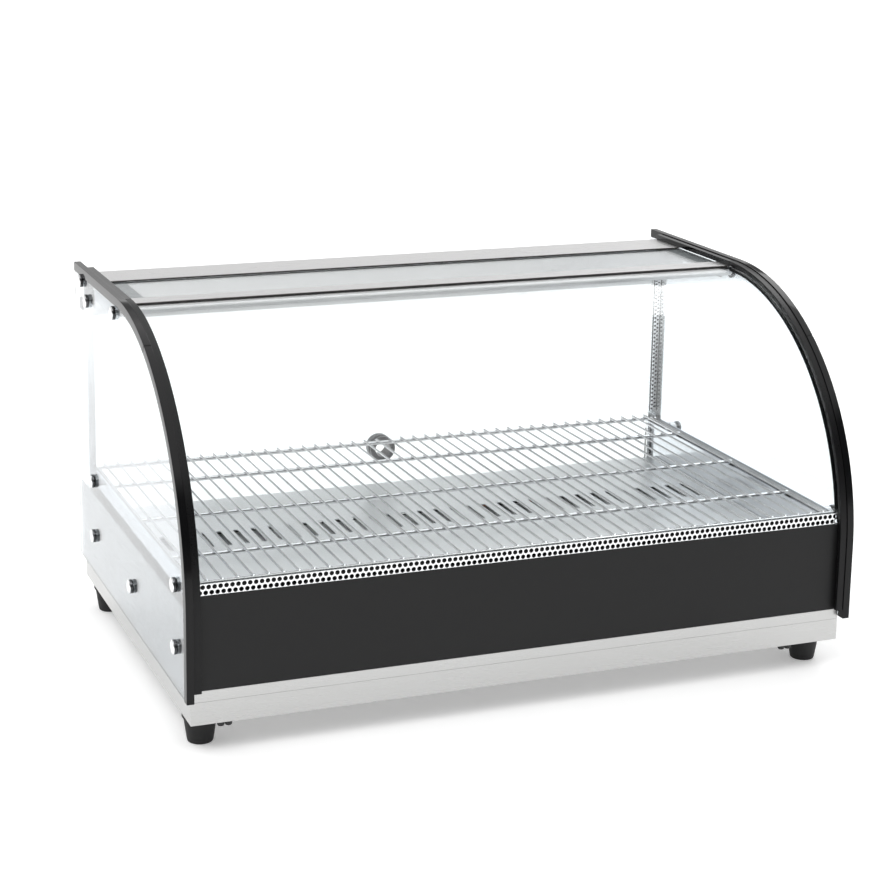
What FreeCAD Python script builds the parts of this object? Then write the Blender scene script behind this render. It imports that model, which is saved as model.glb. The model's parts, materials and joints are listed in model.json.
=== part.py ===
import FreeCAD, Part
import math
import os

import Sketcher

# Countertop hot food display case with curved front glass.
# Frame: +X to the right seen from the front, -Y to the front, +Z up.
# Origin: middle of the footprint, on the surface that the feet stand on. Millimetres.
# Heights in the sheet are measured from a datum plane, and "datum_z" is that plane's height above the surface.

doc = FreeCAD.newDocument("hot_food_display_case")

# ---------------------------------------------------------------- sheet
SIZES = [
    # overall
    ("datum_z", 5.0), ("half_w", 330.0), ("half_d", 214.0), ("top_z", 357.0), ("side_z", 47.5), ("bend_r", 237.0),
    ("trim_t", 1.0), ("side_glass_t", 5.0), ("trim_leg", 9.0), ("seam_left", 25.0), ("seam_right", 37.5),
    # base and lower body
    ("base_z", 23.0), ("base_top", 45.0), ("base_half_w", 323.8), ("base_front", 203.3), ("base_rear", 213.5), ("sheet_t", 1.2),
    ("body_face", 206.0), ("sill_top", 55.5), ("panel_top", 142.0), ("vent_top", 153.0),
    ("skin_x", 322.2), ("skin_top", 128.0), ("skin_front", 199.2), ("skin_rear", 212.0),
    ("liner_x", 317.0), ("liner_top", 150.0), ("liner_front", 199.0), ("liner_rear", 184.0), ("ledge_z", 144.1), ("ledge_w", 8.0),
    ("deck_z", 105.0), ("deck_half_w", 316.6), ("deck_front", 200.0), ("deck_rear", 172.0),
    ("slot_long", 44.0), ("slot_wide", 5.0), ("slot_pitch", 17.8), ("slot_y", 46.5),
    ("rear_face", 192.0), ("rear_top", 94.8),
    # glass and rails
    ("glass_r", 229.5), ("glass_t", 5.0), ("glass_half_w", 319.0), ("glass_foot", 153.4),
    ("rail_front", 27.0), ("rail_rear", 50.0), ("rail_low", 337.5), ("rail_top", 351.0), ("rail_half_w", 322.4),
    ("head_front", 135.0), ("head_rear", 186.0), ("head_low", 324.0), ("head_wall", 2.0),
    ("pane_low", 344.8), ("pane_t", 4.4), ("pane_half_w", 318.0), ("flange_t", 1.5), ("cover_x", 316.0),
    ("gasket_x", 316.0), ("gasket_foot", 55.7),
    # posts and door
    ("post_x", 313.0), ("post_y", 187.0), ("post_leg", 14.0), ("post_foot", 95.0),
    ("door_half_w", 315.6), ("door_y", 190.0), ("door_t", 5.0), ("door_low", 97.0), ("door_top", 315.8),
    ("hinge_y", 192.5), ("hinge_z", 318.0), ("pin_r", 1.5), ("pin_gap", 0.05),
    ("pull_x", -5.0), ("pull_z", 138.5), ("pull_r", 14.0), ("pull_bore", 8.5), ("pull_hole", 11.0),
    # rack
    ("rack_half_w", 314.3), ("rod_r", 2.2), ("wire_r", 1.2), ("wire_pitch", 13.9), ("rod_z", 147.6),
    # fasteners
    ("nut_r", 6.6), ("nut_len", 3.6), ("washer_r", 7.6), ("washer_t", 1.0), ("stud_r", 2.5), ("stud_hole_r", 3.2),
    # feet
    ("foot_x", 306.7), ("foot_front", 171.0), ("foot_rear", 180.0), ("foot_top_r", 16.4), ("foot_low_r", 11.6), ("foot_h", 28.0),
    # electrical
    ("heater_r", 4.0), ("heater_z", 78.0), ("knob_x", 150.0), ("switch_x", 225.0), ("light_x", 262.0), ("lamp_x", 190.0), ("ctrl_z", 70.0),
    ("knob_r", 17.0), ("knob_len", 15.0), ("shaft_r", 3.0), ("tube_r", 6.0),
]
sheet = doc.addObject("Spreadsheet::Sheet", "dims")
for i, (word, value) in enumerate(SIZES, start=1):
    sheet.set("A%d" % i, word)
    sheet.set("B%d" % i, repr(value))
    sheet.setAlias("B%d" % i, word)
doc.recompute()


class Q:
    """A size: its number and the sheet expression that gives it."""

    def __init__(self, v, e):
        self.v, self.e = float(v), e

    @staticmethod
    def of(o):
        return o if isinstance(o, Q) else Q(o, "%.6f" % float(o) if o >= 0 else "(%.6f)" % float(o))

    def __add__(self, o):
        o = Q.of(o)
        return Q(self.v + o.v, "(%s + %s)" % (self.e, o.e))

    __radd__ = __add__

    def __sub__(self, o):
        o = Q.of(o)
        return Q(self.v - o.v, "(%s - %s)" % (self.e, o.e))

    def __rsub__(self, o):
        return Q.of(o) - self

    def __mul__(self, o):
        o = Q.of(o)
        return Q(self.v * o.v, "(%s * %s)" % (self.e, o.e))

    __rmul__ = __mul__

    def __truediv__(self, o):
        o = Q.of(o)
        return Q(self.v / o.v, "(%s / %s)" % (self.e, o.e))

    def __neg__(self):
        return Q(-self.v, "(0 - %s)" % self.e)


def root(q):
    return Q(math.sqrt(q.v), "sqrt(%s)" % q.e)


S = {w: Q(float(sheet.get(w)), "dims." + w) for w, _ in SIZES}
V = {w: float(sheet.get(w)) for w, _ in SIZES}
SUBPARTS = []
count = [0]


def tag(kind):
    count[0] += 1
    return "%s%03d" % (kind, count[0])


def bind(obj, prop, q):
    q = Q.of(q)
    obj.setExpression(prop, q.e)


def place(obj, x, y, z, rot=None):
    obj.Placement = FreeCAD.Placement(FreeCAD.Vector(Q.of(x).v, Q.of(y).v, Q.of(z).v), rot or FreeCAD.Rotation())
    z = Q.of(z) + S["datum_z"]
    obj.Placement.Base.z = z.v
    for axis, q in (("x", x), ("y", y), ("z", z)):
        if isinstance(q, Q):
            bind(obj, "Placement.Base." + axis, q)


def box(x0, x1, y0, y1, z0, z1):
    o = doc.addObject("Part::Box", tag("box"))
    for prop, a, b in (("Length", x0, x1), ("Width", y0, y1), ("Height", z0, z1)):
        d = Q.of(b) - Q.of(a)
        setattr(o, prop, d.v)
        bind(o, prop, d)
    place(o, x0, y0, z0)
    return o


ALONG = {
    "x": FreeCAD.Rotation(FreeCAD.Vector(0, 1, 0), 90),
    "y": FreeCAD.Rotation(FreeCAD.Vector(1, 0, 0), -90),
    "z": FreeCAD.Rotation(),
}


def cyl(r, length, x, y, z, axis="z"):
    o = doc.addObject("Part::Cylinder", tag("cyl"))
    o.Radius, o.Height = Q.of(r).v, Q.of(length).v
    bind(o, "Radius", r)
    bind(o, "Height", length)
    place(o, x, y, z, ALONG[axis])
    return o


def cone(r1, r2, length, x, y, z):
    o = doc.addObject("Part::Cone", tag("cone"))
    o.Radius1, o.Radius2, o.Height = Q.of(r1).v, Q.of(r2).v, Q.of(length).v
    bind(o, "Radius1", r1)
    bind(o, "Radius2", r2)
    bind(o, "Height", length)
    place(o, x, y, z)
    return o


def cut(base, *tools):
    tool = tools[0] if len(tools) == 1 else group(*tools)
    o = doc.addObject("Part::Cut", tag("cut"))
    o.Base, o.Tool = base, tool
    return o


def fuse(*parts):
    o = doc.addObject("Part::MultiFuse", tag("fuse"))
    o.Shapes = list(parts)
    o.Refine = True
    return o


def group(*parts):
    o = doc.addObject("Part::Compound", tag("set"))
    o.Links = list(parts)
    return o


def node(obj, label):
    obj.Label = label
    SUBPARTS.append(obj)
    return obj


def plane_of(body, role):
    return [f for f in body.Origin.OriginFeatures if f.Role == role][0]


def side_profile(label, x, length, loops, circles=()):
    """A body padded along +X from a sketch in the YZ plane, starting at x. loops: lists of edges, each ("L", p, q) or ("A", p, q, radius, centre, clockwise)."""
    body = doc.addObject("PartDesign::Body", tag("body"))
    sk = body.newObject("Sketcher::SketchObject", tag("sketch"))
    sk.AttachmentSupport = [(plane_of(body, "YZ_Plane"), "")]
    sk.MapMode = "FlatFace"
    doc.recompute()
    for edges in loops:
        ids = []
        for e in edges:
            (ya, za), (yb, zb) = [(Q.of(p[0]).v, Q.of(p[1]).v) for p in e[1:3]]
            if e[0] == "L":
                g = sk.addGeometry(Part.LineSegment(FreeCAD.Vector(ya, za, 0), FreeCAD.Vector(yb, zb, 0)), False)
                ids.append((g, 1, 2))
            else:
                cy, cz = [Q.of(c).v for c in e[4]]
                a0, a1 = math.atan2(za - cz, ya - cy), math.atan2(zb - cz, yb - cy)
                if e[5]:
                    a0, a1 = a1, a0
                if a1 < a0:
                    a1 += 2 * math.pi
                circle = Part.Circle(FreeCAD.Vector(cy, cz, 0), FreeCAD.Vector(0, 0, 1), Q.of(e[3]).v)
                g = sk.addGeometry(Part.ArcOfCircle(circle, a0, a1), False)
                ids.append((g, 2, 1) if e[5] else (g, 1, 2))
        n = len(ids)
        for k in range(n):
            a, b = ids[k], ids[(k + 1) % n]
            sk.addConstraint(Sketcher.Constraint("Coincident", a[0], a[2], b[0], b[1]))
        for k, e in enumerate(edges):
            g, start, _ = ids[k]
            for word, q in (("DistanceX", e[1][0]), ("DistanceY", e[1][1])):
                q = Q.of(q)
                c = sk.addConstraint(Sketcher.Constraint(word, -1, 1, g, start, q.v))
                sk.setExpression("Constraints[%d]" % c, q.e)
            if e[0] == "A":
                c = sk.addConstraint(Sketcher.Constraint("Radius", g, Q.of(e[3]).v))
                sk.setExpression("Constraints[%d]" % c, Q.of(e[3]).e)
    for cy, cz, r in circles:
        g = sk.addGeometry(Part.Circle(FreeCAD.Vector(Q.of(cy).v, Q.of(cz).v, 0), FreeCAD.Vector(0, 0, 1), Q.of(r).v), False)
        c = sk.addConstraint(Sketcher.Constraint("Radius", g, Q.of(r).v))
        sk.setExpression("Constraints[%d]" % c, Q.of(r).e)
        for word, q in (("DistanceX", cy), ("DistanceY", cz)):
            q = Q.of(q)
            c = sk.addConstraint(Sketcher.Constraint(word, -1, 1, g, 3, q.v))
            sk.setExpression("Constraints[%d]" % c, q.e)
    pad = body.newObject("PartDesign::Pad", tag("pad"))
    pad.Profile = sk
    pad.Length = Q.of(length).v
    bind(pad, "Length", length)
    sk.Visibility = False
    body.Tip = pad
    place(body, x, 0, 0)
    doc.recompute()
    if label:
        node(body, label)
    return body


def poly(points):
    n = len(points)
    return [("L", points[k], points[(k + 1) % n]) for k in range(n)]


# The side outline: straight along the top, a quarter bend, straight down the front.
CY = S["bend_r"] - S["half_d"]  # bend centre, y
CZ = S["top_z"] - S["bend_r"]  # bend centre, z


def on_bend(r, deg):
    """A point on the bend, deg turned forward from straight up."""
    c, s_ = math.cos(math.radians(deg)), math.sin(math.radians(deg))
    return (CY - Q.of(r) * s_, CZ + Q.of(r) * c)


def band(r_out, r_in, rear=None, from_deg=0.0, to_deg=90.0, foot=None):
    """The strip between two offsets of the outline. rear: y where the top straight starts, or None to start at from_deg. foot: z of the lower end, or None to end at to_deg."""
    r_out, r_in = Q.of(r_out), Q.of(r_in)
    c = (CY, CZ)
    a_out, a_in = on_bend(r_out, from_deg), on_bend(r_in, from_deg)
    b_out, b_in = on_bend(r_out, to_deg), on_bend(r_in, to_deg)
    if foot is not None and Q.of(foot).v > CZ.v:
        rise = Q.of(foot) - CZ
        b_out, b_in = [(CY - root(r * r - rise * rise), foot) for r in (r_out, r_in)]
        foot = None
    edges = []
    if rear is not None:
        edges.append(("L", (rear, CZ + r_out), a_out))
    edges.append(("A", a_out, b_out, r_out, c, False))
    if foot is not None:
        edges.append(("L", b_out, (b_out[0], foot)))
        edges.append(("L", (b_out[0], foot), (b_in[0], foot)))
        edges.append(("L", (b_in[0], foot), b_in))
    else:
        edges.append(("L", b_out, b_in))
    edges.append(("A", b_in, a_in, r_in, c, True))
    if rear is not None:
        edges.append(("L", a_in, (rear, CZ + r_in)))
        edges.append(("L", (rear, CZ + r_in), (rear, CZ + r_out)))
    else:
        edges.append(("L", a_in, a_out))
    return edges


T = S["sheet_t"]
HW = S["half_w"]

# fastener places on each side: (y, z)
NUTS = [(180.0, 344.0), (155.5, 328.0), (39.5, 340.2), (144.0, 145.6), (144.0, 88.0), (-14.5, 88.0), (-176.5, 144.6), (-176.5, 87.5)]

# ---------------------------------------------------------------- base pan
bx, bf, br = S["base_half_w"], -S["base_front"], S["base_rear"]
pan = cut(
    box(-bx, bx, bf, br, S["base_z"], S["base_top"]),
    box(-bx + T, bx - T, bf + T, br - T, S["base_z"] + T, S["base_top"] + 2),
)
foot_places = [(sx, fy) for sx in (-1, 1) for fy in (-S["foot_front"], S["foot_rear"])]
pan_holes = [cyl(2.6, 6, S["foot_x"] * sx, fy, S["base_z"] - 2) for sx, fy in foot_places]
pan_holes += [box(-150 + 24.0 * k, -146 + 24.0 * k, -40, 40, S["base_z"] - 1, S["base_z"] + 3) for k in range(12)]
node(cut(pan, *pan_holes), "base_pan")

# ---------------------------------------------------------------- lower body, front
face = -S["body_face"]
sill = fuse(
    box(-S["skin_x"], S["skin_x"], face, face + T, S["base_top"] + 0.2, S["sill_top"]),
    box(-S["glass_half_w"], S["glass_half_w"], face + T, face + 9, S["base_top"] + 0.2, S["base_top"] + 0.2 + T),
)
node(sill, "front_sill")
panel = fuse(
    box(-S["glass_half_w"], S["glass_half_w"], face, face + T, S["sill_top"] + 0.1, S["panel_top"]),
    box(-S["gasket_x"] + 1, S["gasket_x"] - 1, face + T, face + 6, S["panel_top"] - T - 3, S["panel_top"] - 3),
)
node(panel, "front_panel")
vent = cut(
    fuse(
        box(-S["glass_half_w"], S["glass_half_w"], face, face + 1, S["panel_top"] + 0.1, S["vent_top"]),
        box(-S["gasket_x"] + 1, S["gasket_x"] - 1, face + 1, face + 8, S["vent_top"] - 1, S["vent_top"]),
    ),
    *[box(-300.0 + 30 * k, -278.0 + 30 * k, face - 1, face + 3, S["panel_top"] + 3, S["panel_top"] + 7) for k in range(20)],
)
node(vent, "front_vent_strip")
# back plate of the front panel, closing the well at the front
node(
    fuse(
        box(-S["liner_x"] + 0.4, S["liner_x"] - 0.4, face + 8.2, face + 8.2 + T, 60, S["rod_z"] - S["rod_r"] - 1.9),
        box(-S["liner_x"] + 0.4, S["liner_x"] - 0.4, face + 8.2 + T, face + 13, S["deck_z"] - T - 0.05 - T, S["deck_z"] - T - 0.05),
    ),
    "front_inner_plate",
)

# ---------------------------------------------------------------- side skins and liners
for side, name in ((-1, "left"), (1, "right")):
    x0 = S["skin_x"] if side > 0 else -S["skin_x"] - T
    skin = box(x0, x0 + T, -S["skin_front"], S["skin_rear"], S["base_top"] + 0.2, S["skin_top"])
    holes = [cyl(S["stud_hole_r"], 12, x0 - 5, y, z, "x") for y, z in NUTS if z < 100]
    node(cut(skin, *holes), "side_skin_" + name)
    xa, xb = (S["liner_x"], S["liner_x"] + T) if side > 0 else (-S["liner_x"] - T, -S["liner_x"])
    la, lb = (S["liner_x"] - S["ledge_w"], S["liner_x"]) if side > 0 else (-S["liner_x"], -S["liner_x"] + S["ledge_w"])
    wall = fuse(
        box(xa, xb, -S["liner_front"] + 6, S["liner_rear"], 60, S["liner_top"]),
        box(la, lb, -S["liner_front"] + 8, S["liner_rear"] - 2, S["ledge_z"], S["ledge_z"] + T),
    )
    holes = [cyl(S["stud_hole_r"], 12, xa - 5, y, z, "x") for y, z in NUTS if 100 < z < 200]
    node(cut(wall, *holes), "side_liner_" + name)

# ---------------------------------------------------------------- deck plate with warm air slots
dw = S["deck_half_w"]
deck = cut(
    fuse(
        box(-dw, dw, face + 9.6, S["deck_rear"], S["deck_z"] - T, S["deck_z"]),
        box(-dw, dw, S["deck_rear"] - T, S["deck_rear"], S["rear_top"] + 0.05, S["deck_z"]),
    ),
    *[
        box(
            S["slot_pitch"] * (k + 0.5) - S["slot_wide"] / 2,
            S["slot_pitch"] * (k + 0.5) + S["slot_wide"] / 2,
            S["slot_y"] - S["slot_long"] / 2,
            S["slot_y"] + S["slot_long"] / 2,
            S["deck_z"] - T - 1,
            S["deck_z"] + 1,
        )
        for k in range(-17, 17)
    ],
)
node(deck, "deck_plate")

# ---------------------------------------------------------------- rear sill and control panel
rf = S["rear_face"]
node(
    fuse(
        box(-S["liner_x"] + 0.4, S["liner_x"] - 0.4, S["deck_rear"] - 6, rf + T, S["rear_top"] - T, S["rear_top"]),
        box(-S["liner_x"] + 0.4, S["liner_x"] - 0.4, S["deck_rear"] + 0.3, S["deck_rear"] + 0.3 + T, S["rear_top"], S["deck_z"] - 0.3),
    ),
    "rear_sill",
)
rear = box(-S["skin_x"] + 0.3, S["skin_x"] - 0.3, rf, rf + T, S["base_top"] + 0.2, S["rear_top"] - T - 0.1)
rear_tools = [
    cyl(5.2, 8, S["knob_x"], rf - 3, S["ctrl_z"], "y"),
    cyl(5.0, 8, S["lamp_x"], rf - 3, S["ctrl_z"], "y"),
    box(S["switch_x"] - 6.5, S["switch_x"] + 6.5, rf - 3, rf + 5, S["ctrl_z"] - 9.6, S["ctrl_z"] + 9.6),
    box(S["light_x"] - 6.5, S["light_x"] + 6.5, rf - 3, rf + 5, S["ctrl_z"] - 9.6, S["ctrl_z"] + 9.6),
    cyl(8.1, 8, -250, rf - 3, S["ctrl_z"], "y"),
]
rear_tools += [box(-160 + 12.0 * k, -156 + 12.0 * k, rf - 3, rf + 5, 56, 84) for k in range(18)]
rear_tools += [cyl(1.8, 8, x, rf - 3, 52.5, "y") for x in (-300, -100, 100, 300)]
node(cut(rear, *rear_tools), "rear_panel")
node(group(*[fuse(cyl(1.7, 6, x, rf - 3.5, 52.5, "y"), cyl(3.4, 2, x, rf + T, 52.5, "y")) for x in (-300, -100, 100, 300)]), "rear_panel_screws")

# ---------------------------------------------------------------- side glass
gt = S["side_glass_t"]
tt = S["trim_t"]
R = S["bend_r"]
glass_edges = [
    ("L", (S["half_d"], CZ + R - tt), (CY, CZ + R - tt)),
    ("A", (CY, CZ + R - tt), (CY - R + tt, CZ), R - tt, (CY, CZ), False),
    ("L", (CY - R + tt, CZ), (CY - R + tt, S["side_z"])),
    ("L", (CY - R + tt, S["side_z"]), (S["half_d"], S["side_z"])),
    ("L", (S["half_d"], S["side_z"]), (S["half_d"], CZ + R - tt)),
]
for side, name in ((-1, "left"), (1, "right")):
    x0 = HW - tt - gt if side > 0 else -HW + tt
    side_profile("side_glass_" + name, x0, gt, [glass_edges], [(y, z, S["stud_hole_r"]) for y, z in NUTS])

# ---------------------------------------------------------------- channel trim over the side glass edge
for side, name in ((-1, "left"), (1, "right")):
    seam = V["seam_" + name]
    outer0 = HW - tt if side > 0 else -HW
    inner0 = HW - tt - gt - tt if side > 0 else -HW + tt + gt
    web0 = inner0 if side > 0 else outer0
    leg = R - S["trim_leg"]
    for piece, kw in (("upper", dict(rear=S["half_d"], from_deg=0.0, to_deg=seam)), ("lower", dict(from_deg=seam + 0.15, to_deg=90.0, foot=S["side_z"]))):
        parts = [
            side_profile(None, web0, gt + tt + tt, [band(R, R - tt, **kw)]),
            side_profile(None, outer0, tt, [band(R - tt, leg, **kw)]),
            side_profile(None, inner0, tt, [band(R - tt, leg, **kw)]),
        ]
        node(fuse(*parts), "edge_trim_%s_%s" % (piece, name))

# ---------------------------------------------------------------- gasket that holds the front glass
GO = S["glass_r"] + 1.9
GI = S["glass_r"] - S["glass_t"] - 0.3
inner_face = HW - tt - gt - tt
for side, name in ((-1, "left"), (1, "right")):
    gx = S["gasket_x"]
    wide0 = gx if side > 0 else -inner_face
    web0 = gx + 3.5 if side > 0 else -inner_face
    lip0 = gx if side > 0 else -gx - 3.5
    kw = dict(from_deg=0.0, to_deg=90.0)
    parts = [
        side_profile(None, wide0, inner_face - gx, [band(R - tt, GO, rear=24.0, foot=S["gasket_foot"], **kw)]),
        side_profile(None, web0, inner_face - gx - 3.5, [band(GO, GI - 1.7, rear=24.0, foot=S["gasket_foot"], **kw)]),
        side_profile(None, lip0, 3.5, [band(GI, GI - 1.7, rear=24.0, foot=S["glass_foot"], **kw)]),
    ]
    node(fuse(*parts), "glass_gasket_" + name)

# ---------------------------------------------------------------- curved front glass
ga = S["glass_r"]
side_profile(
    "front_glass",
    -S["glass_half_w"],
    S["glass_half_w"] * 2,
    [band(ga, ga - S["glass_t"], rear=S["rail_front"] + 4, foot=S["glass_foot"])],
)

# ---------------------------------------------------------------- front rail: top flange over the glass, groove each side, body below
ry0, ry1, rz0, rz1 = S["rail_front"], S["rail_rear"], S["rail_low"], S["rail_top"]
ft = S["flange_t"]
groove = S["glass_t"] + 0.5
rail_pts = [
    (ry0, rz1 - ft), (ry0, rz1), (ry1, rz1), (ry1, rz1 - ft), (ry1 - 4.5, rz1 - ft), (ry1 - 4.5, rz1 - ft - groove),
    (ry1, rz1 - ft - groove), (ry1, rz0 + 2), (ry1 - 2, rz0), (ry0 + 4, rz0), (ry0, rz0 + 4), (ry0, rz1 - ft - groove), (ry0 + 4.5, rz1 - ft - groove), (ry0 + 4.5, rz1 - ft),
]
side_profile("front_rail", -S["rail_half_w"], S["rail_half_w"] * 2, [poly(rail_pts)])
seal_a = side_profile(None, -S["gasket_x"] + 0.5, S["gasket_x"] * 2 - 1, [poly([(ry0 - 1.5, rz1 - ft + 0.05), (ry0 - 1.5, rz1 - 0.3), (ry0 - 0.05, rz1 - 0.3), (ry0 - 0.05, rz1 - ft + 0.05)])])

# ---------------------------------------------------------------- rear header: open channel that holds the lamp, groove for the top pane
hy0, hy1, hz0, hw_ = S["head_front"], S["head_rear"], S["head_low"], S["head_wall"]
head_pts = [
    (hy0, rz1 - ft), (hy0, rz1), (hy1, rz1), (hy1, hz0), (hy1 - 8, hz0), (hy1 - 8, hz0 + hw_), (hy1 - hw_, hz0 + hw_), (hy1 - hw_, rz1 - hw_),
    (hy0 + 7, rz1 - hw_), (hy0 + 7, rz1 - ft - groove - hw_), (hy0 + hw_, rz1 - ft - groove - hw_), (hy0 + hw_, hz0 + hw_), (hy0 + 8, hz0 + hw_), (hy0 + 8, hz0), (hy0, hz0),
    (hy0, rz1 - ft - groove), (hy0 + 5, rz1 - ft - groove), (hy0 + 5, rz1 - ft),
]
side_profile("rear_header", -S["rail_half_w"], S["rail_half_w"] * 2, [poly(head_pts)])
node(
    group(*[box(x, x + 4, hy0 + 8.3, hy1 - hw_ - 0.3, hz0 + hw_ + 0.3, rz1 - hw_ - 0.3) for x in (-S["rail_half_w"], S["rail_half_w"] - 4)]),
    "header_end_plugs",
)
seal_b = side_profile(None, -S["cover_x"] + 0.5, S["cover_x"] * 2 - 1, [poly([(hy0 - 1.5, rz1 - ft + 0.05), (hy0 - 1.5, rz1 - 0.3), (hy0 - 0.05, rz1 - 0.3), (hy0 - 0.05, rz1 - ft + 0.05)])])

node(group(seal_a, seal_b), "rail_seals")

# ---------------------------------------------------------------- top pane, its side angles and black cover strips
angles, strips = [], []
node(box(-S["pane_half_w"], S["pane_half_w"], ry1 - 4, hy0 + 4.5, S["pane_low"], S["pane_low"] + S["pane_t"]), "top_glass")
for side, name in ((-1, "left"), (1, "right")):
    a, b = (S["cover_x"] - 21, S["rail_half_w"]) if side > 0 else (-S["rail_half_w"], -S["cover_x"] + 21)
    v0 = S["rail_half_w"] - T if side > 0 else -S["rail_half_w"]
    angles.append(
        fuse(
            box(a, b, ry1 + 0.3, hy0 - 0.3, S["pane_low"] - T, S["pane_low"]),
            box(v0, v0 + T, ry1 + 0.3, hy0 - 0.3, S["pane_low"] - 12, S["pane_low"] - T),
        )
    )
    c0, c1 = (S["cover_x"], inner_face) if side > 0 else (-inner_face, -S["cover_x"])
    strips.append(
        box(c0, c1, 24.3, S["head_rear"], rz1 + 0.1, S["top_z"] - 1)
    )
node(group(*angles), "pane_angles")
node(group(*strips), "cover_strips")

# ---------------------------------------------------------------- rear corner posts
for side, name in ((-1, "left"), (1, "right")):
    a, b = (S["post_x"], inner_face) if side > 0 else (-inner_face, -S["post_x"])
    v0 = inner_face - T if side > 0 else -inner_face
    n0, n1 = (S["skin_x"] - 0.2, inner_face + 1) if side > 0 else (-inner_face - 1, -S["skin_x"] + 0.2)
    post = cut(
        fuse(
            box(a, b, S["post_y"] - T, S["post_y"], S["post_foot"] + 0.2, hz0 - 0.2),
            box(v0, v0 + T, S["post_y"] - S["post_leg"], S["post_y"] - T, S["skin_top"] + 0.5, hz0 - 0.2),
        ),
        box(n0, n1, S["post_y"] - 3, S["post_y"] + 1, S["post_foot"], S["skin_top"] + 0.4),
    )
    node(post, "rear_post_" + name)

# ---------------------------------------------------------------- door: glass flap hung from its top edge
dy0, dt = S["door_y"], S["door_t"]
node(
    cut(
        box(-S["door_half_w"], S["door_half_w"], dy0, dy0 + dt, S["door_low"], S["door_top"]),
        cyl(S["pull_hole"], 12, S["pull_x"], dy0 - 3, S["pull_z"], "y"),
    ),
    "door_glass",
)
door_pts = [
    (dy0 - 2, S["door_top"] - 10), (dy0 - 0.05, S["door_top"] - 10), (dy0 - 0.05, S["door_top"] + 0.1), (dy0 + dt + 0.05, S["door_top"] + 0.1),
    (dy0 + dt + 0.05, S["door_top"] - 10), (dy0 + dt + 2, S["door_top"] - 10), (dy0 + dt + 2, S["hinge_z"] + 2.5), (dy0 - 2, S["hinge_z"] + 2.5),
]
side_profile("door_top_rail", -S["door_half_w"], S["door_half_w"] * 2, [poly(door_pts)])
node(
    group(
        cyl(S["pin_r"], 16, -S["door_half_w"] - 6, S["hinge_y"], S["hinge_z"], "x"),
        cyl(S["pin_r"], 16, S["door_half_w"] - 10, S["hinge_y"], S["hinge_z"], "x"),
    ),
    "door_hinge_pins",
)
blocks = []
for side in (-1, 1):
    a, b = (S["door_half_w"] + 0.9, HW - tt - gt - 0.1) if side > 0 else (-HW + tt + gt + 0.1, -S["door_half_w"] - 0.9)
    blocks.append(
        cut(
            box(a, b, S["post_y"] + 0.2, S["hinge_y"] + 6, S["hinge_z"] - 6, S["hinge_z"] + 5.8),
            cyl(S["pin_r"] + S["pin_gap"], 16, a - 4, S["hinge_y"], S["hinge_z"], "x"),
        )
    )
node(group(*blocks), "door_hinge_blocks")
# finger pull: a flanged ring through the glass
pz = S["pull_z"]
node(
    cut(
        fuse(
            cyl(S["pull_r"], 4, S["pull_x"], dy0 - 4.1, pz, "y"),
            cyl(S["pull_hole"] - 0.3, 18, S["pull_x"], dy0 - 3, pz, "y"),
            cyl(S["pull_r"], 11, S["pull_x"], dy0 + dt + 0.1, pz, "y"),
        ),
        cyl(S["pull_bore"], 40, S["pull_x"], dy0 - 12, pz, "y"),
    ),
    "door_pull",
)

# ---------------------------------------------------------------- wire rack
rx, rr, wr, zr = S["rack_half_w"], S["rod_r"], S["wire_r"], S["rod_z"]
ROD_Y = [-194.6, -116.0, -3.0, 112.0, 180.6]
cross = [cyl(rr, rx * 2, -rx, y, zr, "x") for y in ROD_Y]
edge = [cyl(rr, Q.of(ROD_Y[-1] - ROD_Y[0]), x, ROD_Y[0], zr, "y") for x in (-rx, rx)]
node(fuse(*(cross + edge)), "rack_frame")
wires = []
n_wires = 45
for k in range(n_wires):
    x = S["wire_pitch"] * (k - (n_wires - 1) / 2)
    wires.append(cyl(wr, 377.6, x, -194.2, zr + rr + wr, "y"))
node(group(*wires), "rack_wires")

# ---------------------------------------------------------------- side fasteners
nuts, washers, studs, inner = [], [], [], []
for side in (-1, 1):
    for y, z in NUTS:
        wx = HW - tt if side > 0 else -HW + tt - S["washer_t"]
        washer = cut(cyl(S["washer_r"], S["washer_t"], wx, y, z, "x"), cyl(S["stud_r"] + 0.05, 6, wx - 2, y, z, "x"))
        if z > 340.3:  # trimmed flat where it meets the edge trim
            washer = cut(washer, box(wx - 1, wx + 2, y - 12, y + 12, S["top_z"] - S["trim_leg"] - 0.1, S["top_z"] - 1))
        washers.append(washer)
        nx = HW - tt + S["washer_t"] if side > 0 else -HW + tt - S["washer_t"] - S["nut_len"]
        bx0 = nx - 0.5 if side > 0 else nx + 1.2
        nuts.append(cut(cyl(S["nut_r"], S["nut_len"], nx, y, z, "x"), cyl(S["stud_r"] + 0.05, S["nut_len"] - 0.7, bx0, y, z, "x")))
        reach = 320.0 if z > 200 else (317.2 if z > 100 else 318.9)
        s0 = Q.of(reach) if side > 0 else -HW + tt - S["washer_t"] - 2.0
        s1 = HW - tt + S["washer_t"] + 2.0 if side > 0 else Q.of(-reach)
        studs.append(cyl(S["stud_r"], s1 - s0, s0, y, z, "x"))
        if z < 200:
            if z < 100:
                ix = S["skin_x"] - 3.5 if side > 0 else -S["skin_x"]
                inner.append(cut(cyl(5.0, 3.5, ix, y, z, "x"), cyl(S["stud_r"] + 0.05, 8, ix - 2, y, z, "x")))
            if z > 100:
                sx = S["liner_x"] + T if side > 0 else -HW + tt + gt
                inner.append(cut(cyl(5.5, HW - tt - gt - S["liner_x"] - T, sx, y, z, "x"), cyl(S["stud_r"] + 0.05, 16, sx - 2, y, z, "x")))
node(group(*nuts), "cap_nuts")
node(group(*washers), "nut_washers")
node(group(*studs), "side_studs")
node(group(*inner), "stud_nuts")

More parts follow.
